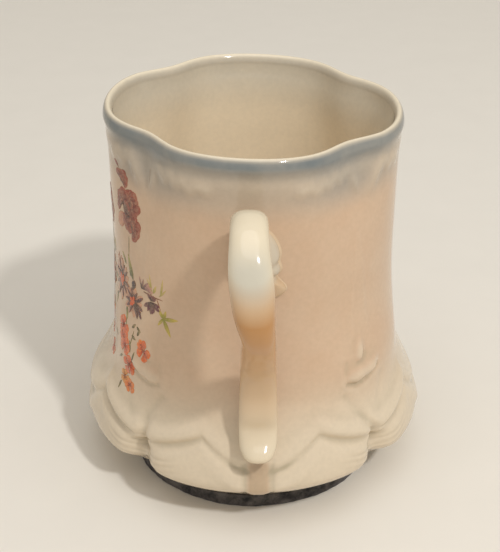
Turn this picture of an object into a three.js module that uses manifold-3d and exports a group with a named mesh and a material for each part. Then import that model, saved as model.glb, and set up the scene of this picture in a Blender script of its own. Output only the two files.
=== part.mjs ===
// Square mug of moulded porcelain with a strap handle and a felt pad, in millimetres, +Z up.
// The origin is the centre of the pad's underside, on the mug's axis, and the handle points along -Y.
// An angle is measured in plan from the handle's side towards +X, and the four corners lie at 45 degrees.
import * as THREE from "three";
import { mergeVertices } from "three/addons/utils/BufferGeometryUtils.js";
import Module from "manifold-3d";

const wasm = await Module();
wasm.setup();

// Whole mug
const height = 95; // from the table to the crest of the lip
const seatGap = 0.3; // clearance between pieces that lie on each other

// Felt pad
const padThickness = 3.2;
const padMargin = 0.6; // how far the pad shows round the foot ring
const padEdge = 0.5; // rounding of the cut edge

// Foot ring, which stands on the pad, and the base above it
const footRadius = 29.6;
const footWidth = 4.2;
const footRecess = 1.8; // height of the recess inside the ring
const baseThickness = 4.2;

// Outer profile on the four flat sides: radius, and height above the foot. The flare below the
// skirt's fullest point and the shoulder and neck above it are set in from it.
const skirtRadius = 42.6;
const skirtRise = 11.2;
const flareInset = 6.1;
const flareRise = 4.7;
const shoulderInset = 3.2;
const shoulderRise = 21.2;
const neckInset = 6.5;
const neckRise = 31;
const waistRadius = 34.3;
const collarRadius = 34.5;
const collarDrop = 11; // below the crest
const lipRadius = 35.4;
const lipHeight = 2.6; // height of the half-round edge
const lipWidth = 2.4;

// Corners: how far the surface stands out from the profile of the sides
const baseTwist = 2.5; // the base's sides and corners against the handle's plane, in degrees
const cornerSwell = 2.2;
const cornerSwellRise = 34; // height of the fullest point above the foot
const cornerSwellSpread = 11; // half of its height

// Corners at the lip: four dents that fade down the wall as flutes
const dentDepth = 3.3;
const dentAngle = 15.3; // half-width in degrees
const dentFade = 34; // length of the flute
const lipTwist = -6; // the lip's corners against those of the base, in degrees
const lipTilt = 0.9; // how far the lip is high on the -X side and low on the other, from firing

// Relief line: the moulded edge where the wall lies over the skirt, with a point down on each
// side, a point up between side and corner, and a hanging fold on each corner
const lineSideRise = 14.5; // above the foot
const lineCuspRise = 21.6;
const lineFoldRise = 16;
const lineCuspAngle = 20.5;
const lineSideCurve = 1.7; // power of the curve from the side's point to the cusp
const lineFoldCurve = 1.85; // power of the curve from the corner's fold to the cusp
const lineCreaseDepth = 1;
const lineCreaseWidth = 0.9;
const lineEdgeHeight = 0.6; // the rolled edges above and below the crease
const lineEdgeWidth = 2.4;

// Skirt: a notch under each corner's fold, which opens towards the foot, and the stem below the handle
const notchDepth = 4;
const notchAngle = 5.5; // half-width in degrees
const notchFootDepth = 3.2; // how much deeper it is where it runs out over the foot
const notchFootAngle = 9;
const stemTwist = 1.5; // the stem's place against the handle's plane, in degrees
const stemHeight = 1.2;
const stemWidth = 2.4;
const stemFade = 5; // height above the foot where the stem has its full height
const stemTopRise = 18.5; // where it ends under the handle's lower end, over the relief line
const stemTopFade = 2;

// Inside of the cup
const wallThickness = 3;
const bowlRound = 15; // radius of the corner between wall and floor

// Handle: a strap with rounded edges on the -Y side, an ear-shaped bow above and a tongue below
const handleWidth = 8;
const handleThickness = 6.2; // of the bow
const tongueThickness = 4.8;
const tipThickness = 6.4; // of the tongue's rounded end
const handleRootDrop = 19.5; // from the crest of the lip to the middle line at the wall
const handleDrop = 8.5; // from the crest of the lip to the highest point of the middle line
const handleReach = 26.1; // from the waist out to the middle line at its fullest
const handleBow = 14; // from the highest point down to the fullest
const tongueReach = 6.3; // from the neck out to the middle line where bow and tongue meet
const tongueRise = 38.5; // height of that place above the foot
const tongueFootRise = 19.1; // height of the tongue's rounded end above the foot
const handleBite = 1.6; // how deep the strap's ends would reach into the wall
const handleTip = 6; // length of the rounding at the lower end
const handleOffset = -1; // sideways place of the strap at the top
const handleLean = 2; // how far the lower end leans towards +X
const handleLeanPlace = [0.27, 0.53]; // where it leans, as shares of its length
// The strap is wider round the bow and at the tip and narrower between: change, place and spread
// along it
const handleWidenings = [
  [1.25, 0.355, 0.068],
  [-0.9, 0.5, 0.1],
  [0.9, 0.9, 0.13],
];
// A hollow and a bead across the front of the tip: depth, height above the foot, half-length
const tipBeads = [
  [-0.9, 28, 2.6],
  [2, 22.5, 2.3],
];
const sectionPower = 0.8; // below 1 the strap's section is squarer than an ellipse
const endShare = 0.12; // width of the last ring at the lower end, as a share of the strap's

// Way points of the middle line, as shares of the sizes above: [outwards, upwards] from the root to
// the crown, [outwards, down the bow] from the crown to the fullest point, then shares of the height
// of the sweep back to the tongue and of the tongue
const bowRising = [
  [0.18, 0.37],
  [0.35, 0.75],
  [0.54, 0.99],
];
const bowFalling = [
  [0.72, 0.05],
  [0.88, 0.29],
  [0.975, 0.64],
  [1, 1],
];
const sweepShares = [0.17, 0.36, 0.55, 0.75, 1];
const tongueShares = [0.3, 0.6, 0.85, 1];

// Lobed leaf that the upper root springs from
const leafWidth = 12.6;
const leafHeight = 18.5;
const leafDrop = 5.6; // from the middle line of the root to the middle of the leaf
const leafTopThickness = 5.5;
const leafFootThickness = 2;
const leafOffset = 0.3; // sideways place of its middle
// Hollows between its lobes on each side: degrees from its top, half-width, and depth as a share
const leafHollows = [
  [80, 8, 0.1],
  [106, 9, 0.15],
];

// Luting slip that joins the handle to the wall
const slipThickness = 0.6;
const slipMargin = 0.4; // how far the slip shows round the strap

// Fineness of the faces
const columnCount = 80;
const strapRingCount = 56;
const strapSideCount = 20;
const leafRingCount = 4;
const leafSideCount = 60;
const footRowCount = 9; // rows from the foot to the relief line
const wallRowCount = 9; // rows from the neck to the lip
const lipRowCount = 7;
const innerRowCount = 13;
const bowlRowCount = 6;

// Heights that follow from the sizes
const footBottom = padThickness + seatGap;
const padRadius = footRadius + padMargin;
const recessTop = footBottom + footRecess;
const floorTop = recessTop + baseThickness;
const flareRadius = skirtRadius - flareInset;
const shoulderRadius = skirtRadius - shoulderInset;
const neckRadius = skirtRadius - neckInset;
const flareZ = footBottom + flareRise;
const skirtZ = footBottom + skirtRise;
const shoulderZ = footBottom + shoulderRise;
const neckZ = footBottom + neckRise;
const collarZ = height - collarDrop;
const waistZ = (neckZ + collarZ) / 2;
const lipZ = height - lipHeight;
const lineMiddleZ = footBottom + (lineSideRise + lineCuspRise) / 2;

const smooth = (t) => {
  const u = Math.min(Math.max(t, 0), 1);
  return u * u * (3 - 2 * u);
};
const bell = (t) => Math.exp(-t * t);
const mix = (from, to, share) => from + (to - from) * share;

// A smooth curve through stations of height and radius that never swings past them.
function profileThrough(stations) {
  const z = stations.map((s) => s[0]);
  const r = stations.map((s) => s[1]);
  const rise = z.slice(1).map((v, i) => (r[i + 1] - r[i]) / (v - z[i]));
  const slope = z.map((_, i) => {
    if (i === 0 || i === z.length - 1) return rise[Math.min(i, rise.length - 1)];
    const [before, after] = [rise[i - 1], rise[i]];
    return before * after > 0 ? (2 * before * after) / (before + after) : 0;
  });
  return (at) => {
    const i = Math.min(Math.max(z.findIndex((v) => v > at) - 1, 0), z.length - 2);
    const last = at >= z[z.length - 1] ? z.length - 2 : i;
    const step = z[last + 1] - z[last];
    const t = Math.min(Math.max((at - z[last]) / step, 0), 1);
    return (
      r[last] * (2 * t ** 3 - 3 * t ** 2 + 1) +
      step * slope[last] * (t ** 3 - 2 * t ** 2 + t) +
      r[last + 1] * (3 * t ** 2 - 2 * t ** 3) +
      step * slope[last + 1] * (t ** 3 - t ** 2)
    );
  };
}

const sideProfile = profileThrough([
  [footBottom, footRadius],
  [flareZ, flareRadius],
  [skirtZ, skirtRadius],
  [shoulderZ, shoulderRadius],
  [neckZ, neckRadius],
  [waistZ, waistRadius],
  [collarZ, collarRadius],
  [lipZ, lipRadius],
]);

// Degrees from the nearest side, 0 to 45, and from the nearest corner
const fromSide = (angle) => Math.abs(((((angle - baseTwist + 45) % 90) + 90) % 90) - 45);
const fromCorner = (angle) => 45 - fromSide(angle);

// Height of the relief line at an angle
function lineZ(angle) {
  const side = fromSide(angle);
  if (side < lineCuspAngle) {
    const climb = (side / lineCuspAngle) ** lineSideCurve;
    return footBottom + lineSideRise + (lineCuspRise - lineSideRise) * climb;
  }
  const climb = (fromCorner(angle) / (45 - lineCuspAngle)) ** lineFoldCurve;
  return footBottom + lineFoldRise + (lineCuspRise - lineFoldRise) * climb;
}

// A row at this level bends to follow the relief line, and is level at the foot and at the waist
function rowZ(angle, level) {
  const reach =
    level < lineMiddleZ
      ? smooth((level - footBottom) / (lineMiddleZ - footBottom))
      : smooth((waistZ - level) / (waistZ - lineMiddleZ));
  return level + (lineZ(angle) - lineMiddleZ) * reach;
}

// How far the four dents of the lip push the wall in
function dent(angle, z) {
  const fade = smooth((z - (height - dentFade)) / dentFade);
  return dentDepth * fade * bell(fromCorner(angle - lipTwist) / dentAngle);
}

// Radius of the outer surface, without and with the moulded relief
const plainRadius = (angle, z) => {
  const swell = bell((z - footBottom - cornerSwellRise) / cornerSwellSpread);
  const corner = (1 + Math.cos(THREE.MathUtils.degToRad(4 * fromCorner(angle)))) / 2;
  return sideProfile(z) + cornerSwell * swell * corner - dent(angle, z);
};
function outerRadius(angle, z) {
  const above = z - lineZ(angle);
  const offLine = above / lineEdgeWidth;
  const edges = lineEdgeHeight * (bell(offLine - 1) + bell(offLine + 1));
  const crease = edges - lineCreaseDepth * bell(above / lineCreaseWidth);
  const low = smooth((z - footBottom) / flareRise);
  const corner = fromCorner(angle);
  const notch =
    notchDepth * bell(corner / notchAngle) * smooth(-offLine) +
    notchFootDepth * bell(corner / notchFootAngle) * smooth((skirtZ - z) / (skirtZ - flareZ));
  const fromStem = Math.abs(((angle - stemTwist + 180) % 360) - 180);
  const across = THREE.MathUtils.degToRad(fromStem) * skirtRadius;
  const running =
    smooth((z - footBottom) / stemFade) * smooth((footBottom + stemTopRise - z) / stemTopFade);
  const stem = bell(across / stemWidth) * running;
  return plainRadius(angle, z) + mix(low * (crease - notch), stemHeight, stem);
}

// Radius of the inner surface: the wall's thickness inside the plain outer surface
const innerRadius = (angle, z) => plainRadius(angle, z) - wallThickness;

// The lip's plane leans a little, all of it near the top
const leaned = (x, z) => z - ((lipTilt * x) / lipRadius) * smooth((z - waistZ) / (height - waistZ));

// A closed mesh over rings of points, one above another, from a first point to a last point.
// Seen from the last point, each ring runs anticlockwise.
function closedMesh(firstPoint, rings, lastPoint) {
  const sides = rings[0].length;
  const last = 1 + rings.length * sides;
  const at = (ring, side) => 1 + ring * sides + (side % sides);
  const faces = [];
  for (let side = 0; side < sides; side++) {
    faces.push(0, at(0, side + 1), at(0, side));
    for (let ring = 1; ring < rings.length; ring++) {
      faces.push(at(ring - 1, side), at(ring - 1, side + 1), at(ring, side + 1));
      faces.push(at(ring - 1, side), at(ring, side + 1), at(ring, side));
    }
    faces.push(at(rings.length - 1, side), at(rings.length - 1, side + 1), last);
  }
  const geometry = new THREE.BufferGeometry();
  const points = [firstPoint, ...rings.flat(), lastPoint];
  geometry.setAttribute("position", new THREE.Float32BufferAttribute(points.flat(), 3));
  geometry.setIndex(faces);
  return geometry;
}

// The mug's own rings: each row gives radius and height at an angle
function turnedMesh(bottomZ, rows, topZ) {
  const rings = rows.map((row) =>
    Array.from({ length: columnCount }, (_, column) => {
      const angle = baseTwist + (360 * column) / columnCount;
      const turn = THREE.MathUtils.degToRad(angle);
      const { r, z } = row(angle);
      return [r * Math.sin(turn), -r * Math.cos(turn), leaned(r * Math.sin(turn), z)];
    }),
  );
  return closedMesh([0, 0, bottomZ], rings, [0, 0, topZ]);
}

// Evenly spaced values, both ends included
const spread = (from, to, count) =>
  Array.from({ length: count }, (_, i) => from + ((to - from) * i) / (count - 1));

// Levels of the outer rows: close together at the relief line, wider on the plain wall
const outerLevels = [
  ...spread(footBottom, lineMiddleZ - 2 * lineEdgeWidth, footRowCount),
  ...spread(lineMiddleZ - 1.5 * lineEdgeWidth, lineMiddleZ - lineCreaseWidth, 3),
  lineMiddleZ,
  ...spread(lineMiddleZ + lineCreaseWidth, lineMiddleZ + 2 * lineEdgeWidth, 4),
  ...spread(lineMiddleZ + 3 * lineEdgeWidth, neckZ + lineEdgeWidth, 3),
  ...spread(neckZ + 3 * lineEdgeWidth, lipZ, wallRowCount),
];
const outerRows = (proud) =>
  outerLevels.map((level) => (angle) => {
    const z = rowZ(angle, level);
    return { r: outerRadius(angle, z) + proud, z };
  });

// The half-round lip, from the outer wall over the crest to the inner wall
const lipRows = spread(0, Math.PI, lipRowCount)
  .slice(1, -1)
  .map((turn) => (angle) => ({
    r: outerRadius(angle, lipZ) - (lipWidth / 2) * (1 - Math.cos(turn)),
    z: lipZ + lipHeight * Math.sin(turn),
  }));

// The inner wall runs down to the rounded corner of the bowl, and then across the floor
const bowlTop = floorTop + bowlRound;
const innerWallRows = spread(lipZ, bowlTop, innerRowCount).map((z) => (angle) => {
  const thinned = (wallThickness - lipWidth) * bell((lipZ - z) / lipHeight);
  return { r: innerRadius(angle, z) + thinned, z };
});
const bowlRows = spread(0, Math.PI / 2, bowlRowCount)
  .slice(1)
  .map((turn) => (angle) => ({
    r: innerRadius(angle, bowlTop) - bowlRound * (1 - Math.cos(turn)),
    z: bowlTop - bowlRound * Math.sin(turn),
  }));

function bodyGeometry() {
  const recess = footRadius - footWidth;
  const footRows = [
    () => ({ r: recess - footRecess, z: recessTop }),
    () => ({ r: recess, z: footBottom }),
  ];
  const rows = [...footRows, ...outerRows(0), ...lipRows, ...innerWallRows, ...bowlRows];
  return turnedMesh(recessTop, rows, floorTop);
}

// The filled outside of the body, this much proud of it: what the handle's ends are cut by
const filledBody = (proud) => solidOf(turnedMesh(footBottom, outerRows(proud), lipZ));

function solidOf(geometry) {
  const bare = geometry.clone();
  bare.deleteAttribute("normal");
  bare.deleteAttribute("uv");
  const merged = mergeVertices(bare);
  return new wasm.Manifold(
    new wasm.Mesh({
      numProp: 3,
      vertProperties: merged.attributes.position.array,
      triVerts: new Uint32Array(merged.index.array),
    }),
  );
}

function geometryOf(solid) {
  const { vertProperties, triVerts } = solid.getMesh();
  const geometry = new THREE.BufferGeometry();
  geometry.setAttribute("position", new THREE.BufferAttribute(vertProperties, 3));
  geometry.setIndex(new THREE.BufferAttribute(triVerts, 1));
  const faceted = geometry.toNonIndexed();
  faceted.computeVertexNormals();
  return faceted;
}

// The strap's middle line in the plane of the handle: [distance from the mug's axis, height]
const crownZ = height - handleDrop;
const rootZ = height - handleRootDrop;
const fullZ = crownZ - handleBow;
const tongueZ = footBottom + tongueRise;
const tipZ = footBottom + tongueFootRise;
const tipOut = outerRadius(0, tipZ) + tipThickness / 2 - handleBite;

function handleLine() {
  const fullOut = waistRadius + handleReach;
  const tongueOut = neckRadius + tongueReach;
  const places = [
    [outerRadius(0, rootZ) - handleBite, rootZ],
    ...bowRising.map(([out, up]) => [mix(waistRadius, fullOut, out), mix(rootZ, crownZ, up)]),
    ...bowFalling.map(([out, down]) => [mix(waistRadius, fullOut, out), mix(crownZ, fullZ, down)]),
    ...sweepShares.map((share) => [mix(fullOut, tongueOut, smooth(share)), mix(fullZ, tongueZ, share)]),
    ...tongueShares.map((share) => [mix(tongueOut, tipOut, smooth(share)), mix(tongueZ, tipZ, share)]),
  ];
  const points = places.map(([distance, z]) => new THREE.Vector3(0, -distance, z));
  return new THREE.CatmullRomCurve3(points, false, "centripetal");
}

// The strap: rounded sections carried along the middle line, closed by a rounded lower end
const squared = (value) => Math.sign(value) * Math.abs(value) ** sectionPower;
function strapSolid(proud) {
  const line = handleLine();
  const length = line.getLength();
  const [leanStart, leanEnd] = handleLeanPlace;
  const middleAt = (along) => {
    const lean = smooth((along - leanStart) / (leanEnd - leanStart));
    return line.getPointAt(along).setX(handleOffset + handleLean * lean);
  };
  const widthAt = (along) =>
    handleWidenings.reduce(
      (width, [change, place, spread]) => width + change * bell((along - place) / spread),
      handleWidth,
    );
  const rings = spread(0, 1, strapRingCount).map((along) => {
    const middle = middleAt(along);
    const tangent = line.getTangentAt(along);
    const toEnd = Math.min(1, ((1 - along) * length) / handleTip);
    const closing = Math.max(Math.sqrt(1 - (1 - toEnd) ** 2), endShare);
    const falling = tangent.z < 0;
    const thinning = falling ? smooth((fullZ - middle.z) / (fullZ - tongueZ)) : 0;
    const swelling = falling ? smooth((tongueZ - middle.z) / (tongueZ - tipZ)) : 0;
    const thickness =
      handleThickness -
      (handleThickness - tongueThickness) * thinning +
      (tipThickness - tongueThickness) * swelling;
    const beads = tipBeads.map(([depth, rise, half]) => depth * bell((middle.z - footBottom - rise) / half));
    const bead = falling ? beads.reduce((sum, depth) => sum + depth, 0) : 0;
    return Array.from({ length: strapSideCount }, (_, side) => {
      const turn = (2 * Math.PI * side) / strapSideCount;
      const across = (widthAt(along) / 2 + proud) * closing * squared(Math.cos(turn));
      const front = bead * Math.max(squared(Math.sin(turn)), 0);
      const out = ((thickness / 2 + proud) * squared(Math.sin(turn)) + front) * closing;
      return [middle.x + across, middle.y + tangent.z * out, middle.z - tangent.y * out];
    });
  });
  return solidOf(closedMesh(middleAt(0).toArray(), rings, middleAt(1).toArray()));
}

// The leaf: lobed rings that draw in towards the crown of the leaf as they rise from the wall
function leafSolid(proud) {
  const middleZ = rootZ - leafDrop;
  const wallY = -outerRadius(0, middleZ);
  const ring = (share, lift) =>
    spread(0, -2 * Math.PI, leafSideCount + 1)
      .slice(1)
      .map((turn) => {
        const fromTop = THREE.MathUtils.radToDeg(Math.acos(Math.cos(turn)));
        const hollows = leafHollows.map(([place, width, depth]) => depth * bell((fromTop - place) / width));
        const lobed = share * (1 - hollows.reduce((sum, hollow) => sum + hollow, 0));
        const up = Math.cos(turn) * lobed;
        const thickness = leafFootThickness + (leafTopThickness - leafFootThickness) * smooth((up + 1) / 2);
        return [
          leafOffset + (leafWidth / 2 + proud) * lobed * Math.sin(turn),
          wallY - lift * (thickness + proud),
          middleZ + (leafHeight / 2 + proud) * up,
        ];
      });
  const sunk = wallY + 2 * handleBite;
  const base = ring(1, 0).map(([x, , z]) => [x, sunk, z]);
  const dome = spread(0, Math.PI / 2, leafRingCount + 1)
    .slice(0, -1)
    .map((rise) => ring(Math.cos(rise), Math.sin(rise)));
  const crown = (leafFootThickness + leafTopThickness) / 2 + proud;
  const middle = (y) => [leafOffset, y, middleZ];
  return solidOf(closedMesh(middle(sunk), [base, ...dome], middle(wallY - crown)));
}

const handleSolid = (proud) => strapSolid(proud).add(leafSolid(proud));

// The slip fills the joint between the wall and the handle, at both roots
const slipOuter = seatGap + slipThickness;
const slipSolid = handleSolid(slipMargin).intersect(filledBody(slipOuter)).subtract(filledBody(seatGap));
const [lowerSlip, upperSlip] = slipSolid
  .decompose()
  .sort((a, b) => b.volume() - a.volume())
  .slice(0, 2)
  .sort((a, b) => a.boundingBox().min[2] - b.boundingBox().min[2]);
const handleCut = handleSolid(0).subtract(filledBody(slipOuter + seatGap));
const handle = handleCut.decompose().sort((a, b) => b.volume() - a.volume())[0];

function padGeometry() {
  const outline = [
    [0, 0],
    [padRadius - padEdge, 0],
    [padRadius, padEdge],
    [padRadius, padThickness - padEdge],
    [padRadius - padEdge, padThickness],
    [0, padThickness],
  ].map(([x, z]) => new THREE.Vector2(x, z));
  const pad = new THREE.LatheGeometry(outline, columnCount);
  return pad.rotateX(Math.PI / 2);
}

const glazedPorcelain = new THREE.MeshStandardMaterial({ color: 0xe3d6c4, roughness: 0.16, metalness: 0 });
const handlePorcelain = new THREE.MeshStandardMaterial({ color: 0xe6ddcd, roughness: 0.16, metalness: 0 });
const firedSlip = new THREE.MeshStandardMaterial({ color: 0xd8cab5, roughness: 0.3, metalness: 0 });
const blueFelt = new THREE.MeshStandardMaterial({ color: 0x20242c, roughness: 0.95, metalness: 0 });

const mug = new THREE.Group();
[
  ["body", geometryOf(solidOf(bodyGeometry())), glazedPorcelain],
  ["handle", geometryOf(handle), handlePorcelain],
  ["upper_luting_slip", geometryOf(upperSlip), firedSlip],
  ["lower_luting_slip", geometryOf(lowerSlip), firedSlip],
  ["felt_pad", geometryOf(solidOf(padGeometry())), blueFelt],
].forEach(([name, geometry, material]) => {
  const piece = new THREE.Mesh(geometry, material);
  piece.name = name;
  mug.add(piece);
});

export default mug;
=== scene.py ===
import bpy
import numpy as np
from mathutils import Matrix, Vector


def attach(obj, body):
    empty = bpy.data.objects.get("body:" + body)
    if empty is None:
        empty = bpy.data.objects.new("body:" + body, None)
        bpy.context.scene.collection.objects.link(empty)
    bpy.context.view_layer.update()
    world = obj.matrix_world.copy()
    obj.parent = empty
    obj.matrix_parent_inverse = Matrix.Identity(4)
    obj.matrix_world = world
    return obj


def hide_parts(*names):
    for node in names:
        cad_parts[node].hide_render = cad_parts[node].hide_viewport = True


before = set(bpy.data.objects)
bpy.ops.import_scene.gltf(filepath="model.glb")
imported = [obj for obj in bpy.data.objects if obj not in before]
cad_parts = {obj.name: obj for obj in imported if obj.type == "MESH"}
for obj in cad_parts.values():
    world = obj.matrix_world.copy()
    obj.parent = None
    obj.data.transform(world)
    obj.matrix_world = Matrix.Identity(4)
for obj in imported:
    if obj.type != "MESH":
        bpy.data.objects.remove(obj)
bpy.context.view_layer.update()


# Body: one hollow casting of hard porcelain, with its lobed lip, moulded wall, scalloped skirt and
# foot ring. It is slip cast, so the relief comes from the plaster mould, and the glaze rounds it off.
# Sizes are in millimetres, and angles in degrees in plan, from the handle's side (-Y) towards +X
mm = 0.001
crest_z = 95.0
foot_z, foot_radius, foot_width = 3.5, 29.6, 4.2
recess_z, floor_z = 5.3, 9.5
bowl_round = 15.0
wall_thickness = 3.0
lip_z, lip_radius, lip_height, lip_width, lip_tilt = 92.4, 35.4, 2.6, 2.4, 0.9
skirt_z = 14.7
waist_z, waist_radius = 59.25, 34.3
# Height and radius of the flat sides: foot, flare, skirt, shoulder, neck, waist, collar and lip
side_stations = np.array([
    [foot_z, foot_radius], [8.2, 36.5], [skirt_z, 42.6], [24.7, 39.4],
    [34.5, 36.1], [waist_z, waist_radius], [84.0, 34.5], [lip_z, lip_radius],
])
# Base, stem and lip left the mould a little turned against the handle
base_twist, stem_twist, lip_twist = 2.5, 1.5, -3.5
corner_swell, swell_z = 2.2, 37.5
dent_depth, dent_height = 3.3, 34
# The relief line's heights at the sides' middles, at the cusps beside the corners and at the folds
line_side_z, line_cusp_z, line_fold_z = 18.0, 25.1, 20.3
line_middle_z = (line_side_z + line_cusp_z) / 2
line_cusp_angle = 20.5
notch_depth, foot_notch_depth = 3.6, 3.2
stem_height, stem_half_width = 0.7, 3.1
left_bulge, left_hollow = 1.3, 0.6
lip_hollow, lip_hollow_z = 0.3, 90.4
# Millimetres round the wall per degree, at the corner sprays, under the lip and at the stem
corner_arc, lip_arc, stem_arc = 0.66, 0.6, 0.74


def smooth(t):
    """Rises from 0 to 1 while t does: t squared times (3 minus 2 t)."""
    u = np.clip(t, 0, 1)
    return u * u * (3 - 2 * u)


def bell(t):
    """e to the power of minus t squared."""
    return np.exp(-t * t)


def hermite(t, start, end, slope_in, slope_out):
    """The cubic from start to end with the two slopes at its ends, t being the share of the way."""
    return (
        start * (2 * t**3 - 3 * t**2 + 1) + end * (3 * t**2 - 2 * t**3)
        + slope_in * (t**3 - 2 * t**2 + t) + slope_out * (t**3 - t**2)
    )


def side_radius(z):
    """Cubic from station to station, whose slope at each is the harmonic mean of the two rises."""
    heights, radii = side_stations.T
    step = np.diff(heights)
    rise = np.diff(radii) / step
    before, after = rise[:-1], rise[1:]
    same = before * after > 0
    inner = np.where(same, 2 * before * after / np.where(same, before + after, 1), 0)
    slope = np.concatenate([rise[:1], inner, rise[-1:]])
    i = np.clip(np.searchsorted(heights, z, side="right") - 1, 0, len(step) - 1)
    t = np.clip((z - heights[i]) / step[i], 0, 1)
    return hermite(t, radii[i], radii[i + 1], step[i] * slope[i], step[i] * slope[i + 1])


def from_side(angle):
    """Degrees from the nearest flat side, 0 to 45."""
    return np.abs((angle + 45) % 90 - 45)


def from_corner(angle):
    """Degrees from the nearest corner, 0 to 45."""
    return 45 - from_side(angle)


def line_z(angle):
    """Height of the relief line: a power curve from each side's point up to the cusp, and another
    from the cusp down to the fold that hangs on the corner."""
    side = from_side(angle - base_twist)
    climb = (side / line_cusp_angle) ** 1.7
    hang = ((45 - side) / (45 - line_cusp_angle)) ** 1.85
    to_side = line_side_z + (line_cusp_z - line_side_z) * climb
    to_fold = line_fold_z + (line_cusp_z - line_fold_z) * hang
    return np.where(side < line_cusp_angle, to_side, to_fold)


def row_z(angle, level):
    """A level row, bent towards the relief line the more the nearer it is to it."""
    low = smooth((level - foot_z) / (line_middle_z - foot_z))
    high = smooth((waist_z - level) / (waist_z - line_middle_z))
    reach = np.where(level < line_middle_z, low, high)
    return level + (line_z(angle) - line_middle_z) * reach


def plain_radius(angle, z):
    """Side radius, plus a swelling that is a cosine round the corners and a bell in height, minus the
    four dents of the lip, which are bells that grow upwards."""
    at_corners = (1 - np.cos(np.radians(4 * (angle - base_twist)))) / 2
    swell = corner_swell * bell((z - swell_z) / 11) * at_corners
    growing = smooth((z - crest_z + dent_height) / dent_height)
    return side_radius(z) + swell - dent_depth * growing * bell(from_corner(angle - lip_twist) / 15.3)


def mirrored(angle):
    """Degrees from the nearest corner, below 0 towards the handle's side and the side behind it."""
    turned = np.abs((angle + 180) % 360 - 180)
    return np.minimum(turned, 180 - turned) - 45


def mound(u, v, centre, half, tilt):
    """A soft round mound: e to the power of minus the squared distance from its centre, in its
    half-widths along two axes that are turned by the tilt."""
    cos, sin = np.cos(np.radians(tilt)), np.sin(np.radians(tilt))
    x, y = u - centre[0], v - centre[1]
    return np.exp(-(((x * cos + y * sin) / half[0]) ** 2 + ((y * cos - x * sin) / half[1]) ** 2))


def furrow(u, v, path, width):
    """A bell of the distance from the nearest stretch of a path of straight stretches."""
    nearest = np.inf
    for start, end in zip(path[:-1], path[1:]):
        start, end = np.array(start), np.array(end)
        along = end - start
        share = ((u - start[0]) * along[0] + (v - start[1]) * along[1]) / (along @ along)
        share = np.clip(share, 0, 1)
        away = np.hypot(u - start[0] - share * along[0], v - start[1] - share * along[1])
        nearest = np.minimum(nearest, away)
    return bell(nearest / width)


def corner_relief(angle, z):
    """The moulded spray on each corner, as mounds less furrows: a bud over two petals with a shadow
    line under them, a tuck on each side that runs down into the notch, and a faint panel that points
    up the wall. The spray left of the handle came out of the mould half as high."""
    u = mirrored(angle - base_twist * smooth((29 - z) / 8)) * corner_arc
    bud = 1.2 * mound(u, z, (-2.0, 43.4), (1.3, 2.7), -12)
    petal = 1.5 * mound(u, z, (-2.9, 37.9), (3.0, 1.9), 24)
    wing = 1.2 * mound(u, z, (1.6, 38.4), (2.3, 1.6), 30)
    under = 0.8 * furrow(u, z, [(-5.4, 35.6), (-3.2, 34.9), (-0.4, 35.3), (1.8, 36.2), (3.8, 37.2)], 0.75)
    bend = 0.35 * furrow(u, z, [(-2.8, 40.7), (-1.2, 41.0), (0.2, 41.9)], 0.6)
    stalk = 0.22 * furrow(u, z, [(-5.9, 41.0), (-6.3, 38.2), (-6.0, 35.4)], 0.7)
    deeper = 0.4 + 1.3 * smooth((29 - z) / 8)
    tuck = deeper * furrow(u, z, [(-6.6, 32.4), (-4.9, 29.8), (-3.0, 27.0), (-1.2, 22.6), (-0.4, 18)], 1.4)
    far_tuck = 0.15 * furrow(u, z, [(6.0, 34.0), (4.4, 30.4), (2.6, 26.4), (1.0, 22.4)], 1.2)
    point = smooth((z - 44) / 6) * smooth((80 - z) / 12)
    edge = 3.3 * smooth((88 - z) / 44)
    panel = 0.12 * point * smooth((edge - np.abs(u + 0.2)) / 1.4 + 0.5)
    worn = 1 - 0.5 * bell(((angle + 225) % 360 - 180) / 30)
    return worn * (bud + petal + wing + panel - under - bend - stalk) - tuck - far_tuck


def lip_relief(angle, z):
    """The moulded hanging under the lip: two drops beside each corner, as mounds, and soft scallops
    towards the sides, as ridges along a path."""
    u = mirrored(angle) * lip_arc
    drop = 1.0 * mound(u, z, (5.6, 86.0), (1.7, 4.4), -24)
    small = 0.7 * mound(u, z, (-0.8, 85.4), (1.4, 2.6), 16)
    swag = 0.45 * furrow(u, z, [(-3.6, 88.6), (-5.4, 87.2), (-7.2, 88.2), (-8.8, 86.9), (-10.8, 87.6),
                                (-12.6, 86.4), (-14.6, 87.4), (-16.4, 86.9)], 1.5)
    far = 0.45 * furrow(u, z, [(8.8, 88.2), (10.4, 86.6), (12.2, 87.8), (14.2, 86.8)], 1.5)
    return drop + small + swag + far


def from_stem(angle, z):
    """Millimetres from the middle of the stem, drawn in towards the foot, where the stem spreads."""
    return np.abs((angle - stem_twist + 180) % 360 - 180) * stem_arc - 1.8 * smooth((11 - z) / 7)


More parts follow.
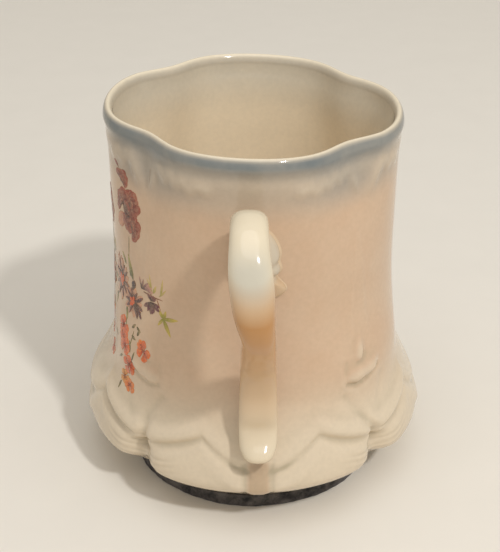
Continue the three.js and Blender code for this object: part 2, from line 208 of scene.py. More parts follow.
def skirt_relief(angle, z):
    """Bells of the height above the relief line: two rolled edges with a crease between them, deepest
    at the corners and a little deeper by the stem, a third roll beside the stem and three fine reeds
    towards the corners. A notch under each corner's fold opens towards the foot, and the stem under
    the handle stands between two furrows."""
    above = z - line_z(angle)
    low = smooth((z - foot_z) / 4.7)
    side = from_side(angle - base_twist)
    corner = 45 - side
    towards_corner = smooth((side - 17) / 10)
    towards_stem = smooth((14 - side) / 9)
    edges = (0.65 + 0.6 * towards_corner) * bell((above - 2.8) / 2.5) + 0.4 * bell((above + 2.4) / 2.8)
    crease_width = 1.1 + 0.2 * towards_corner + 0.4 * towards_stem
    crease = (0.45 + 0.5 * towards_corner + 0.3 * towards_stem) * bell(above / crease_width)
    reeds = smooth((side - 26) / 10) * sum(
        depth * bell((above + place) / 0.5) for place, depth in ((3.6, 0.3), (5.2, 0.28), (6.8, 0.22))
    )
    notch = notch_depth * bell(corner / 5.5) * smooth(-above / 2.4)
    notch = notch + foot_notch_depth * bell(corner / 9) * smooth((skirt_z - z) / 6.5)
    across = from_stem(angle, z)
    running = smooth((z - 5) / 9) * smooth((22 - z) / 2)
    stem = smooth((stem_half_width - across) / 2) * running
    beside = 0.35 * bell((across - stem_half_width - 0.2) / 0.8) * running
    roll = 0.35 * bell((above + 4.6) / 1.3) * smooth((16 - side) / 8)
    return low * (edges + roll - crease - reeds - notch) * (1 - stem) + stem_height * stem - beside


def outer_radius(angle, z):
    """Plain radius with all the moulded relief and the hollow under the lip's bead. The left side
    bulges more at its shoulder than the others, and is drawn in a little above it."""
    relief = skirt_relief(angle, z) + corner_relief(angle, z) + lip_relief(angle, z)
    to_left = bell(((angle + 270) % 360 - 180) / 26)
    bulge = to_left * (left_bulge * bell((z - 23) / 3.6) - left_hollow * bell((z - 37) / 6))
    return plain_radius(angle, z) + relief + bulge - lip_hollow * bell((z - lip_hollow_z) / 1.5)


def leaned(x, z):
    """The lip's plane leans towards +X, all of it above the waist."""
    return z - lip_tilt * x / lip_radius * smooth((z - waist_z) / (crest_z - waist_z))


def on_axis(angle, radius, z):
    """Points at an angle, radius and height, with the lean of the lip."""
    turn = np.radians(angle)
    x = radius * np.sin(turn)
    return np.stack(np.broadcast_arrays(x, -radius * np.cos(turn), leaned(x, z)), axis=-1)


def mesh_of(name, points, *faces, rounded=True):
    """A mesh of points in millimetres and of arrays of faces, each with its point numbers last."""
    mesh = bpy.data.meshes.new(name)
    corners = [face for array in faces for face in array.reshape(-1, array.shape[-1]).tolist()]
    mesh.from_pydata((points.reshape(-1, 3) * mm).tolist(), [], corners)
    if rounded:
        mesh.shade_smooth()
    return mesh


def walls_between(here, order=(0, 1, 2, 3)):
    """Quads from each ring of point numbers to the next, each with its corners in the given order."""
    beside = np.roll(here, -1, axis=-1)
    corners = [here[..., :-1, :], beside[..., :-1, :], beside[..., 1:, :], here[..., 1:, :]]
    return np.stack([corners[i] for i in order], axis=-1)


def closed_mesh(name, rings, first, last):
    """Quads from ring to ring, and triangles to a first and a last point. Seen from the last point,
    each ring runs anticlockwise."""
    count, sides = rings.shape[:2]
    here = 1 + np.arange(count * sides).reshape(count, sides)
    beside = np.roll(here, -1, axis=1)
    low = np.stack([np.zeros(sides, int), beside[0], here[0]], axis=-1)
    high = np.stack([here[-1], beside[-1], np.full(sides, count * sides + 1)], axis=-1)
    return mesh_of(name, np.vstack([[first], rings.reshape(-1, 3), [last]]), walls_between(here), low, high)


def placed(name, mesh, material):
    """An object at the origin that holds the mesh, with its material."""
    made = bpy.data.objects.new(name, mesh)
    mesh.materials.append(material)
    bpy.context.collection.objects.link(made)
    return made


def linear(text):
    """An sRGB hex colour as linear red, green, blue and alpha."""
    share = np.array([int(text[i:i + 2], 16) for i in (1, 3, 5)]) / 255
    value = np.where(share <= 0.04045, share / 12.92, ((share + 0.055) / 1.055) ** 2.4)
    return (*value, 1.0)


def node(tree, kind, values=(), links=(), **settings):
    """Adds a node: its settings, its plain sockets' values, and the outputs that feed its sockets."""
    made = tree.nodes.new(kind)
    for name, value in settings.items():
        setattr(made, name, value)
    for socket, value in dict(values).items():
        made.inputs[socket].default_value = value
    for socket, source in dict(links).items():
        tree.links.new(source, made.inputs[socket])
    return made


def empty_material(name):
    """A material, its node tree, which holds only the coordinates, and their output on the object."""
    made = bpy.data.materials.new(name)
    made.use_nodes = True
    made.node_tree.nodes.clear()
    return made, made.node_tree, node(made.node_tree, "ShaderNodeTexCoord").outputs["Object"]


# Columns lie closer together at the corners, where the relief is finest
dense = np.linspace(0, 360, 7201)
weight = 1 + bell(from_corner(dense - base_twist) / 13)
share = np.concatenate([[0], np.cumsum((weight[1:] + weight[:-1]) / 2)])
angles = np.interp(np.linspace(0, share[-1], 500, endpoint=False), share, dense)

# Rows of the outside: fine over the skirt and the sprays, coarse up the wall, fine under the lip
levels = np.concatenate([
    np.linspace(foot_z, 19.4, 34),
    np.linspace(19.9, 25.2, 17),
    np.linspace(25.8, 49.0, 40),
    np.linspace(50.2, 76.5, 20),
    np.linspace(77.4, lip_z, 26),
])[:, None]
outer_z = row_z(angles, levels)
outer = on_axis(angles, outer_radius(angles, outer_z), outer_z)
roll = np.linspace(0, np.pi, 15)[1:-1, None]
lip = on_axis(
    angles,
    outer_radius(angles, lip_z) - lip_width / 2 * (1 - np.cos(roll)),
    lip_z + lip_height * np.sin(roll),
)
inner_z = np.linspace(lip_z, floor_z + bowl_round, 26)[:, None]
thinned = (wall_thickness - lip_width) * bell((lip_z - inner_z) / lip_height)
inner = on_axis(angles, plain_radius(angles, inner_z) - wall_thickness + thinned, inner_z)
bend = np.linspace(0, np.pi / 2, 10)[1:, None]
bowl = on_axis(
    angles,
    plain_radius(angles, floor_z + bowl_round) - wall_thickness - bowl_round * (1 - np.cos(bend)),
    floor_z + bowl_round - bowl_round * np.sin(bend),
)
foot_inside = foot_radius - foot_width
foot_rows = np.array([
    [foot_inside - 1.8, recess_z], [foot_inside - 0.5, 4.4], [foot_inside, foot_z + 0.15],
    [foot_inside + 0.3, foot_z], [foot_radius - 0.5, foot_z],
])[:, :, None]
foot = on_axis(angles, foot_rows[:, 0], foot_rows[:, 1])
rings = np.concatenate([foot, outer, lip, inner, bowl])
body_mesh = closed_mesh("body_porcelain", rings, (0, 0, recess_z), (0, 0, floor_z))

# Tints, as shares from 0 to 1 at each point: the airbrushed blue at the lip, the peach of the wall,
# the glaze, which runs thin off the crests of the relief and pools cool in its hollows, and the cup's
# untinted inside. The pool share holds painted shade as well: the hollows, the skirt towards the
# foot and the fold line beside the stem are painted darker, and the stem is darker too. The peach,
# thinned on the crests, is partly painted light that brings out the relief. The inside is painted
# lighter and a little warm, as painted light that falls and bounces into the cup
blue_low_z, peach_low_z, pool_and_shade_top_z = 78, 24, 60
relief = outer_radius(angles, outer_z) - plain_radius(angles, outer_z)
around = sum(np.roll(relief, step, axis=1) for step in range(-3, 4)) / 7
around = np.pad(around, ((3, 3), (0, 0)), mode="edge")
around = sum(around[row:row + len(relief)] for row in range(7)) / 7
hollow = np.clip((around - relief) / 0.3, 0, 1)
crest = np.clip((relief - around) / 0.3, 0, 1)
raised = np.clip(1.2 * lip_relief(angles, outer_z), 0, 1)
at_corner = bell(from_corner(angles - lip_twist) / 17)
blue_outer = (0.27 + 0.3 * at_corner) * smooth((outer_z - blue_low_z) / 8)
blue_outer = blue_outer * (1 - (0.55 - 0.3 * at_corner) * raised) + 0.55 * bell((outer_z - 92.8) / 2)
blue_outer = np.clip(blue_outer + 0.2 * hollow * smooth((outer_z - blue_low_z) / 6), 0, 1)
# The peach is thinned on the crests: partly glaze running thin there, partly painted light that lifts the
# relief
peach_outer = smooth((outer_z - peach_low_z) / 18) * (1 - 0.5 * crest)
peach_outer = peach_outer * (1 - 0.6 * smooth((outer_z - blue_low_z) / 12))
on_stem = smooth((stem_half_width + 0.3 - from_stem(angles, outer_z)) / 2) * smooth((22 - outer_z) / 2)
near_stem = smooth((13 - from_side(angles - base_twist)) / 6) * (np.abs(angles - 180) > 90)
# Painted shade: a thin dark line along the crease of the relief line beside the stem
fold_line_shade = near_stem * bell((outer_z - line_z(angles)) / 0.55)
peach_outer = np.maximum(peach_outer, 1.4 * on_stem)
# The pool share: cool glaze pooled in the hollows with painted shade there, painted shade on the skirt
# towards the foot, and a darker stem
pool_and_shade_outer = np.maximum(0.6 * hollow + 0.5 * smooth((12 - outer_z) / 8), 0.6 * on_stem)
pool_and_shade_outer = pool_and_shade_outer * smooth((pool_and_shade_top_z - outer_z) / 12) + 0.9 * fold_line_shade * (1 - on_stem)
pool_and_shade_outer = np.clip(pool_and_shade_outer, 0, 1)
blank = np.zeros_like
rolled = np.degrees(roll)  # 0 at the outside of the lip, 90 on its crest and 180 at its inside
blue_lip = 0.97 - 0.85 * smooth((rolled - 34) / 46) + 0.28 * smooth((rolled - 100) / 50)
white_lip = smooth((rolled - 50) / 40) * (1 - 0.6 * smooth((rolled - 105) / 45))
blue_lip, white_lip = (np.repeat(tint, len(angles), axis=1) for tint in (blue_lip, white_lip))
blue_inner = np.repeat(0.4 * smooth((inner_z - 79) / 13), len(angles), axis=1)
# The inside's white share and its slight peach are painted light: they make the inside lighter and warmer,
# for the light that falls and bounces into the cup
for name, outside, on_lip, inside in (
    ("blue", blue_outer, blue_lip, blue_inner),
    ("peach", peach_outer, blank(blue_lip), np.full_like(blue_inner, 0.12)),
    ("pool_and_shade", pool_and_shade_outer, blank(blue_lip), blank(blue_inner)),
    ("white", blank(blue_outer), white_lip, np.ones_like(blue_inner)),
):
    values = np.concatenate([
        np.zeros(1 + foot[..., 0].size), outside.ravel(), on_lip.ravel(), inside.ravel(),
        np.zeros(bowl[..., 0].size + 1) + inside[-1, 0],
    ])
    body_mesh.attributes.new(name, "FLOAT", "POINT").data.foreach_set("value", values)

# Glazed porcelain: hard white paste under a clear feldspar glaze, IOR near 1.5 and nearly mirror
# smooth, so that small lamps show as points of light. The tints lie under the glaze. The glaze's own
# waves are some 12 mm long, its colour clouds are 8 mm across, and its specks 1 mm.
porcelain, tree, place = empty_material("glazed_porcelain")
clouds = node(tree, "ShaderNodeTexNoise", {"Scale": 125.0, "Detail": 3.0}, {"Vector": place})
speckle = node(tree, "ShaderNodeTexNoise", {"Scale": 900.0, "Detail": 2.0}, {"Vector": place})
tone = node(tree, "ShaderNodeRGB").outputs["Color"]
tone.default_value = linear("#d9c8ae")
# The pool colour stands for cool glaze pooled in the hollows and for painted shade
for name, colour, strength in (("white", "#f6e7ca", 1.0), ("peach", "#cdae90", 1.0), ("pool_and_shade", "#a99c80", 0.8),
                               ("blue", "#6e7678", 1.0)):
    share = node(tree, "ShaderNodeAttribute", attribute_name=name)
    uneven = node(tree, "ShaderNodeMapRange", {"From Min": 0.3, "From Max": 0.7, "To Min": 0.82 * strength,
                  "To Max": strength}, {"Value": clouds.outputs["Fac"]})
    part = node(tree, "ShaderNodeMath", links={0: share.outputs["Fac"], 1: uneven.outputs["Result"]},
                operation="MULTIPLY")
    tone = node(tree, "ShaderNodeMix", {7: linear(colour)}, {0: part.outputs["Value"], 6: tone},
                data_type="RGBA").outputs[2]
grain = node(tree, "ShaderNodeMapRange", {"From Min": 0.3, "From Max": 0.7, "To Min": 0.97, "To Max": 1.02},
             {"Value": speckle.outputs["Fac"]})
shaded = node(tree, "ShaderNodeMix", {0: 1.0}, {6: tone, 7: grain.outputs["Result"]},
              data_type="RGBA", blend_type="MULTIPLY")
wave = node(tree, "ShaderNodeTexNoise", {"Scale": 85.0, "Detail": 1.0}, {"Vector": place})
bump = node(tree, "ShaderNodeBump", {"Strength": 0.25, "Distance": 0.0004}, {"Height": wave.outputs["Fac"]})
gloss = node(tree, "ShaderNodeMapRange", {"From Min": 0.3, "From Max": 0.7, "To Min": 0.07, "To Max": 0.13},
             {"Value": clouds.outputs["Fac"]})
surface = node(tree, "ShaderNodeBsdfPrincipled", {"IOR": 1.5, "Metallic": 0.0},
               {"Base Color": shaded.outputs[2], "Roughness": gloss.outputs["Result"],
                "Normal": bump.outputs["Normal"]})
node(tree, "ShaderNodeOutputMaterial", links={"Surface": surface.outputs["BSDF"]})

body = placed("body_porcelain", body_mesh, porcelain)
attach(body, "root")
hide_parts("body")


# Handle: a porcelain strap cast in its own mould, ear-shaped above and with a tongue below, and the
# small lobed leaf at its upper root. Both are joined to the leather-hard wall with slip.
strap_width, strap_bite = 8.0, 1.6
bow_thickness, tongue_thickness, tip_thickness = 6.2, 4.8, 6.4
root_z, crown_z, full_z, tongue_z, tip_z = 75.5, 86.5, 72.5, 42.0, 22.6
full_out, tongue_out = 60.4, 42.3
strap_offset, strap_lean = -1.0, 2.0
end_rounding, section_power = 6.0, 0.8


def between(start, end, share):
    """Start plus the share of the way to the end."""
    return start + (end - start) * np.asarray(share)


def flowing(points, count):
    """A centripetal Catmull-Rom curve: between two points a cubic whose slopes come from the four
    nearest points, spaced by the square root of their distances. Resampled at even lengths."""
    ends = [2 * points[0] - points[1], *points, 2 * points[-1] - points[-2]]
    p = np.array(ends)
    gap = np.sqrt(np.linalg.norm(np.diff(p, axis=0), axis=1))[:, None]
    d0, d1, d2 = gap[:-2], gap[1:-1], gap[2:]
    slope_in = ((p[1:-2] - p[:-3]) / d0 - (p[2:-1] - p[:-3]) / (d0 + d1) + (p[2:-1] - p[1:-2]) / d1) * d1
    slope_out = ((p[2:-1] - p[1:-2]) / d1 - (p[3:] - p[1:-2]) / (d1 + d2) + (p[3:] - p[2:-1]) / d2) * d1
    t = np.linspace(0, 1, 40, endpoint=False)[None, :, None]
    start, end, first, last = p[1:-2, None], p[2:-1, None], slope_in[:, None], slope_out[:, None]
    fine = np.vstack([hermite(t, start, end, first, last).reshape(-1, p.shape[1]), points[-1]])
    length = np.concatenate([[0], np.cumsum(np.linalg.norm(np.diff(fine, axis=0), axis=1))])
    even = np.linspace(0, length[-1], count)
    return np.stack([np.interp(even, length, fine[:, i]) for i in range(p.shape[1])], axis=-1), length[-1]


def stretch(start, end, out_shares, z_shares):
    """Points between two, each at its own share of the way out and of the way in height."""
    return np.stack([between(start[0], end[0], out_shares), between(start[1], end[1], z_shares)], axis=-1)


# The middle line, as distance from the axis and height: the root, the bow's rise and its fall, the
# sweep in to the tongue, and the tongue down to the tip
tip_out = outer_radius(0.0, tip_z) + tip_thickness / 2 - strap_bite
sweep = np.array([0.17, 0.36, 0.55, 0.75, 1])
fall = np.array([0.3, 0.6, 0.85, 1])
way = np.vstack([
    [outer_radius(0.0, root_z) - strap_bite, root_z],
    stretch((waist_radius, root_z), (full_out, crown_z), [0.18, 0.35, 0.54], [0.37, 0.75, 0.99]),
    stretch((waist_radius, crown_z), (full_out, full_z), [0.72, 0.88, 0.975, 1], [0.05, 0.29, 0.64, 1]),
    stretch((full_out, full_z), (tongue_out, tongue_z), smooth(sweep), sweep),
    stretch((tongue_out, tongue_z), (tip_out, tip_z), smooth(fall), fall),
])
middle, strap_length = flowing(way, 220)
along = np.linspace(0, 1, len(middle))
tangent = np.gradient(middle, axis=0)
tangent /= np.linalg.norm(tangent, axis=1, keepdims=True)
falling = tangent[:, 1] < 0
thinning = falling * smooth((full_z - middle[:, 1]) / (full_z - tongue_z))
swelling = falling * smooth((tongue_z - middle[:, 1]) / (tongue_z - tip_z))
thickness = bow_thickness - (bow_thickness - tongue_thickness) * thinning
thickness = thickness + (tip_thickness - tongue_thickness) * swelling
to_end = np.minimum(1, (1 - along) * strap_length / end_rounding)
closing = np.maximum(np.sqrt(1 - (1 - to_end) ** 2), 0.03)
middle_x = strap_offset + strap_lean * smooth((along - 0.27) / 0.26) - 0.25 * bell((along - 0.43) / 0.05)
width = strap_width + 1.25 * bell((along - 0.355) / 0.068) - 0.9 * bell((along - 0.5) / 0.1)
width = width + 0.9 * bell((along - 0.9) / 0.13) + 0.5 * bell((along - 0.43) / 0.05)
bead = falling * (2.9 * bell((middle[:, 1] - 25.8) / 2.7) - 1.3 * bell((middle[:, 1] - 32.0) / 2.8))
turn = np.linspace(0, 2 * np.pi, 48, endpoint=False)
circle = np.array([np.cos(turn), np.sin(turn)])
squared = np.sign(circle) * np.abs(circle) ** section_power
out = (thickness[:, None] / 2 * squared[1] + bead[:, None] * np.maximum(squared[1], 0)) * closing[:, None]
rings = np.stack([
    middle_x[:, None] + width[:, None] / 2 * closing[:, None] * squared[0],
    -middle[:, :1] + tangent[:, 1:] * out,
    middle[:, 1:] + tangent[:, :1] * out,
], axis=-1)
strap_mesh = closed_mesh("handle_strap", rings, (middle_x[0], -middle[0, 0], middle[0, 1]),
                         (middle_x[-1], -middle[-1, 0], middle[-1, 1]))

# The leaf is a dome over a lobed outline, with a rib down its middle and hollows that run in from
# the notches between its lobes
leaf_half, leaf_rise, leaf_x, leaf_z = 5.7, 9.25, 0.3, 69.9
leaf_top, leaf_foot = 5.5, 2.4
leaf_spin = np.linspace(0, -2 * np.pi, 241)[1:]


def leaf_outline(spin):
    """1 at the lobes, minus bells of the degrees from the top at the notches, two on each side and one
    at the foot."""
    from_top = np.degrees(np.abs((spin + np.pi) % (2 * np.pi) - np.pi))
    notches = ((85, 0.1), (111, 0.17), (180, 0.05))
    return 1 - sum(depth * bell((from_top - place) / 8) for place, depth in notches)


def leaf_spread(spin):
    """1 for the upper lobes. Lower down it rises smoothly, by 0.55 and by 0.35 times the sine, so that
    the right lobe is the fullest."""
    return 1 + (0.55 + 0.35 * np.sin(spin)) * smooth((-np.cos(spin) - 0.3) / 0.55)


def leaf_ring(share, lift):
    """The outline drawn in by a share, lifted off the wall by a share of the leaf's thickness."""
    lobed = share * leaf_outline(leaf_spin)
    x, up = leaf_half * lobed * np.sin(leaf_spin) * leaf_spread(leaf_spin), lobed * np.cos(leaf_spin)
    rib = 0.5 * bell(x / 0.9) * (1 - share) + 9.0 * (leaf_outline(leaf_spin) - 1) * share * (1 - share)
    depth = between(leaf_foot, leaf_top, smooth((up + 1) / 2)) + rib
    wall_y = -outer_radius(0.0, leaf_z)
    return np.stack([leaf_x + x, wall_y - lift * depth, leaf_z + leaf_rise * up], axis=-1)


base = leaf_ring(1, 0)
base[:, 1] = -outer_radius(0.0, leaf_z) + 1.6
rise = np.linspace(0, np.pi / 2, 17)[:-1]
dome = np.stack([leaf_ring(np.cos(r), np.sin(r)) for r in rise])
crown = (leaf_x, -outer_radius(0.0, leaf_z) - (leaf_foot + leaf_top) / 2 - 0.5, leaf_z)
leaf_rings = np.concatenate([base[None], dome])
leaf_mesh = closed_mesh("handle_leaf", leaf_rings, (leaf_x, base[0, 1], leaf_z), crown)

# Tints: a pale blue on the outward face of the bow's top, the airbrushed blue on the leaf's upper
# lobes and the peach on the leaf's foot. The strap's downward-facing underside carries a painted warm
# reflection and painted shade in the same peach, which ends in a rounded tongue of colour, with a
# little more at the tip's end
strap_z, strap_side = rings[..., 2], np.abs(squared[0])
outward = smooth(squared[1] + 0.6)
strap_blue = 0.45 * smooth((88 - strap_z) / 6) * smooth((strap_z - 73) / 6) * (1 - strap_side**4) * outward
# Painted reflection and shade on the strap's downward-facing underside, shaped to end in a rounded tongue,
# with a little at the tip's end
strap_reflection_z = strap_z + 2 * (1 - strap_side**2) * smooth((strap_z - 68) / 4)
strap_painted_reflection = np.interp(strap_reflection_z, [20, 28, 34, 40, 50, 60, 64, 72, 77, 82],
                        [0.2, 0.06, 0.24, 0.48, 0.72, 0.92, 0.95, 1, 0.6, 0])
leaf_z_all = leaf_rings[..., 2]
leaf_blue = 0.4 * smooth((leaf_z_all - 66) / 1.5) * (1 - 0.4 * smooth((leaf_z_all - 74) / 5))
leaf_peach = 0.16 + 0.34 * smooth((67.6 - leaf_z_all) / 1.6)

# The same glazed porcelain, left whiter than the body. Its own material, so that a handle can be
# given another tint.
white, tree, place = empty_material("glazed_handle_porcelain")
clouds = node(tree, "ShaderNodeTexNoise", {"Scale": 140.0, "Detail": 3.0}, {"Vector": place})
tone = node(tree, "ShaderNodeMix", {6: linear("#e7d9be"), 7: linear("#decfb2")}, {0: clouds.outputs["Fac"]},
            data_type="RGBA").outputs[2]
# The peach colour is the leaf's and the slips' tint, and on the strap's underside a painted warm reflection
# and shade
for name, colour in (("blue", "#a9aeaa"), ("peach", "#bd8a54")):
    share = node(tree, "ShaderNodeAttribute", attribute_name=name)
    tone = node(tree, "ShaderNodeMix", {7: linear(colour)}, {0: share.outputs["Fac"], 6: tone},
                data_type="RGBA").outputs[2]
wave = node(tree, "ShaderNodeTexNoise", {"Scale": 90.0, "Detail": 1.0}, {"Vector": place})
bump = node(tree, "ShaderNodeBump", {"Strength": 0.2, "Distance": 0.0004}, {"Height": wave.outputs["Fac"]})
gloss = node(tree, "ShaderNodeMapRange", {"From Min": 0.3, "From Max": 0.7, "To Min": 0.07, "To Max": 0.12},
             {"Value": clouds.outputs["Fac"]})
surface = node(tree, "ShaderNodeBsdfPrincipled", {"IOR": 1.5, "Metallic": 0.0},
               {"Base Color": tone, "Roughness": gloss.outputs["Result"], "Normal": bump.outputs["Normal"]})
node(tree, "ShaderNodeOutputMaterial", links={"Surface": surface.outputs["BSDF"]})

for name, mesh, blue, peach in (("handle_strap", strap_mesh, strap_blue, strap_painted_reflection),
                                ("handle_leaf", leaf_mesh, leaf_blue, leaf_peach)):
    for tint, values in (("blue", blue), ("peach", peach)):
        values = np.concatenate([values[:1, 0], values.ravel(), values[-1:, 0]])
        mesh.attributes.new(tint, "FLOAT", "POINT").data.foreach_set("value", values)
    piece = placed(name, mesh, white)
    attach(piece, "root")
    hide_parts("handle")


# Luting slip: liquid clay wiped round each root of the handle before firing. It dries to a small
# hollow fillet between handle and wall, and takes the same glaze.
leaf_wall, tip_wall = 36, 40  # rough radii of the wall, which turn a place across into an angle


def inside_strap(points):
    """Whether points lie in the strap: at its nearest section, the sum of the two distances from the
    middle line, as shares of the half-sizes and to the section's power, is below 1."""
    away = np.hypot(-points[..., 1, None] - middle[:, 0], points[..., 2, None] - middle[:, 1])
    i = away.argmin(axis=-1)
    across = (points[..., 0] - middle_x[i]) / (width[i] / 2 * closing[i])
    out = away.min(axis=-1) / (thickness[i] / 2 * closing[i])
    return np.abs(across) ** (2 / section_power) + out ** (2 / section_power) < 1


def fillet(name, x, z, way_x, way_z, size):
    """A ring that follows an outline on the wall. Its section is a hollow fillet, in shares of its
    size: from the wall in towards the handle, up its side, and back below the surface."""
    section = np.array([
        [1, 0.02], [0.62, 0.08], [0.33, 0.24], [0.12, 0.5], [0, 0.95], [-0.5, 0.9], [-0.5, -0.4], [0.9, -0.4],
    ])
    px = x[:, None] + way_x[:, None] * section[:, 0] * size
    pz = z[:, None] + way_z[:, None] * section[:, 0] * size
    radius = outer_radius(np.degrees(np.arcsin(px / leaf_wall)), pz) + section[:, 1] * size
    points = np.stack([px, -np.sqrt(np.maximum(radius**2 - px**2, 0)), leaned(px, pz)], axis=-1)
    here = np.arange(px.size).reshape(px.shape)
    return mesh_of(name, points, walls_between(np.vstack([here, here[:1]]), (0, 3, 2, 1)))


spin = np.linspace(0, 2 * np.pi, 181)[:-1]
lobed = leaf_outline(spin)
leaf_edge_x = leaf_x + leaf_half * lobed * np.sin(spin) * leaf_spread(spin)
leaf_edge_z = leaf_z + leaf_rise * lobed * np.cos(spin)
leaf_slip = fillet("upper_luting_slip_fillet", leaf_edge_x, leaf_edge_z, np.sin(spin), np.cos(spin), 0.5)
reach = np.linspace(0.2, 7, 120)[:, None]
centre_x, centre_z = middle_x[-1], tip_z + 0.6
wall_x, wall_z = centre_x + reach * np.sin(spin), centre_z + reach * np.cos(spin)
wall_r = outer_radius(np.degrees(np.arcsin(wall_x / tip_wall)), wall_z)
touching = inside_strap(np.stack([wall_x, -np.sqrt(wall_r**2 - wall_x**2), wall_z], axis=-1))
edge = (reach * touching).max(axis=0)
edge = np.convolve(np.concatenate([edge[-4:], edge, edge[:4]]), np.ones(9) / 9, mode="valid")
tip_slip = fillet("lower_luting_slip_fillet", centre_x + edge * np.sin(spin), centre_z + edge * np.cos(spin),
                  np.sin(spin), np.cos(spin), 0.7)
for mesh, stands_for in ((leaf_slip, "upper_luting_slip"), (tip_slip, "lower_luting_slip")):
    mesh.attributes.new("peach", "FLOAT", "POINT").data.foreach_set("value", np.full(len(mesh.vertices), 0.4))
    piece = placed(mesh.name, mesh, white)
    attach(piece, "root")
    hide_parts(stands_for)


# Felt pad: a disc of dense wool felt, blue-black, cut with a punch and glued under the foot ring, so
# its cut edge is softly rounded and loose wool fibres stand out of it.
felt_radius, felt_thickness, soft = 31.2, 3.5, 0.35  # its edge is 1 mm past that of the solid disc
edge_turn = np.linspace(-np.pi / 2, np.pi / 2, 15)
felt_angles = np.linspace(0, 2 * np.pi, 360, endpoint=False)
waver = sum(size * np.sin(waves * felt_angles + start)
            for size, waves, start in ((0.10, 7, 1), (0.06, 23, 0), (0.04, 61, 2)))
flat_r = np.linspace(6, 27, 8)
profile_r = np.concatenate([flat_r, felt_radius - soft + soft * np.cos(edge_turn) ** 0.6, flat_r[::-1]])
profile_z = felt_thickness * np.concatenate([np.zeros(8), (1 + np.sin(edge_turn)) / 2, np.ones(8)])
share = smooth((profile_r - 24) / 5)[:, None]
radius = profile_r[:, None] + waver * share
rings = np.stack(np.broadcast_arrays(radius * np.cos(felt_angles), radius * np.sin(felt_angles),
                                     profile_z[:, None]), axis=-1)
pad_mesh = closed_mesh("felt_disc", rings, (0, 0, 0), (0, 0, felt_thickness))

# Wool felt: matted fibres 20 to 40 micrometres thick, drawn at 0.3 mm so that they show, dyed blue
# black and lit along the edges by the loose fibre ends. No gloss.
felt, tree, place = empty_material("blue_black_wool_felt")
strands = node(tree, "ShaderNodeTexNoise", {"Scale": 1600.0, "Detail": 4.0, "Distortion": 1.5},
               {"Vector": place})
tufts = node(tree, "ShaderNodeTexNoise", {"Scale": 350.0, "Detail": 2.0}, {"Vector": place})
both = node(tree, "ShaderNodeMath", {1: 0.5}, {0: strands.outputs["Fac"], 2: tufts.outputs["Fac"]},
            operation="MULTIPLY_ADD")
tone = node(tree, "ShaderNodeValToRGB", links={"Fac": both.outputs["Value"]})
tone.color_ramp.elements[0].position, tone.color_ramp.elements[1].position = 0.55, 1.0
tone.color_ramp.elements[0].color = linear("#2a2929")
tone.color_ramp.elements[1].color = linear("#6c6661")
bump = node(tree, "ShaderNodeBump", {"Strength": 0.8, "Distance": 0.0003}, {"Height": both.outputs["Value"]})
surface = node(tree, "ShaderNodeBsdfPrincipled",
               {"Roughness": 0.95, "Sheen Weight": 0.35, "Sheen Roughness": 0.5,
                "Sheen Tint": linear("#8a8790"), "Specular IOR Level": 0.2},
               {"Base Color": tone.outputs["Color"], "Normal": bump.outputs["Normal"]})
node(tree, "ShaderNodeOutputMaterial", links={"Surface": surface.outputs["BSDF"]})
pad = placed("felt_disc", pad_mesh, felt)
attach(pad, "root")
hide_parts("felt_pad")

# Loose fibres: three-sided hairs, each a bent line from the cut edge, drawn thicker than real wool
dice = np.random.RandomState(4)
hairs, joints = 1500, 4
sunk, hair_thickness = 0.35, 0.022
root_turn = dice.uniform(0, 2 * np.pi, hairs)
root_height = dice.uniform(0.2, 3.0, hairs)
length = dice.uniform(0.25, 0.8, hairs)
sideways, upwards = dice.uniform(-1.3, 1.3, hairs), dice.uniform(-0.9, 0.7, hairs)
step = np.linspace(0, 1, joints)[None, :]
from_middle = 2 * root_height / felt_thickness - 1
root_radius = felt_radius - sunk - soft + soft * np.sqrt(np.clip(1 - from_middle**2, 0, 1))
hair_r = root_radius[:, None] + length[:, None] * (0.75 * step - 0.25 * step**2)
hair_turn = root_turn[:, None] + length[:, None] * sideways[:, None] * step**1.5 / felt_radius
hair_z = root_height[:, None] + length[:, None] * upwards[:, None] * step**1.6
hair_z = np.clip(hair_z, 0.04, felt_thickness - 0.1)
thick = hair_thickness * (1 - 0.7 * step)
corner_turn = np.array([0, 2 * np.pi / 3, 4 * np.pi / 3])
ring_r = hair_r[..., None]
ring_turn = hair_turn[..., None] + thick[..., None] * np.cos(corner_turn) / felt_radius
ring_z = hair_z[..., None] + thick[..., None] * np.sin(corner_turn)
points = np.stack([ring_r * np.cos(ring_turn), ring_r * np.sin(ring_turn), ring_z], axis=-1)
here = np.arange(hairs * joints * 3).reshape(hairs, joints, 3)
fibre_mesh = mesh_of("felt_fibres", points, walls_between(here), here[:, 0, ::-1], here[:, -1], rounded=False)
wool, tree, place = empty_material("wool_fibre")
speck = node(tree, "ShaderNodeTexNoise", {"Scale": 700.0}, {"Vector": place})
tone = node(tree, "ShaderNodeMix", {6: linear("#2c2c33"), 7: linear("#6a6769")}, {0: speck.outputs["Fac"]},
            data_type="RGBA")
surface = node(tree, "ShaderNodeBsdfPrincipled", {"Roughness": 0.9}, {"Base Color": tone.outputs[2]})
node(tree, "ShaderNodeOutputMaterial", links={"Surface": surface.outputs["BSDF"]})
fibres = placed("felt_fibres", fibre_mesh, wool)
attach(fibres, "root")


# Floral transfer: a spray of garden flowers printed in enamel colours, slid onto the glazed left wall
# and fired on. Each petal and leaf is a closed film a few hundredths of a millimetre thick.
dice = np.random.RandomState(11)
spray_middle = -83
film_lift, layer_step, film_rise, film_sink = 0.02, 0.011, 0.028, 0.07
painted_warm_light = np.array([1.05, 0.76, 0.58])  # painted warm light: factors of the inks' red, green and blue that warm the print as a warm lamp would
films = []


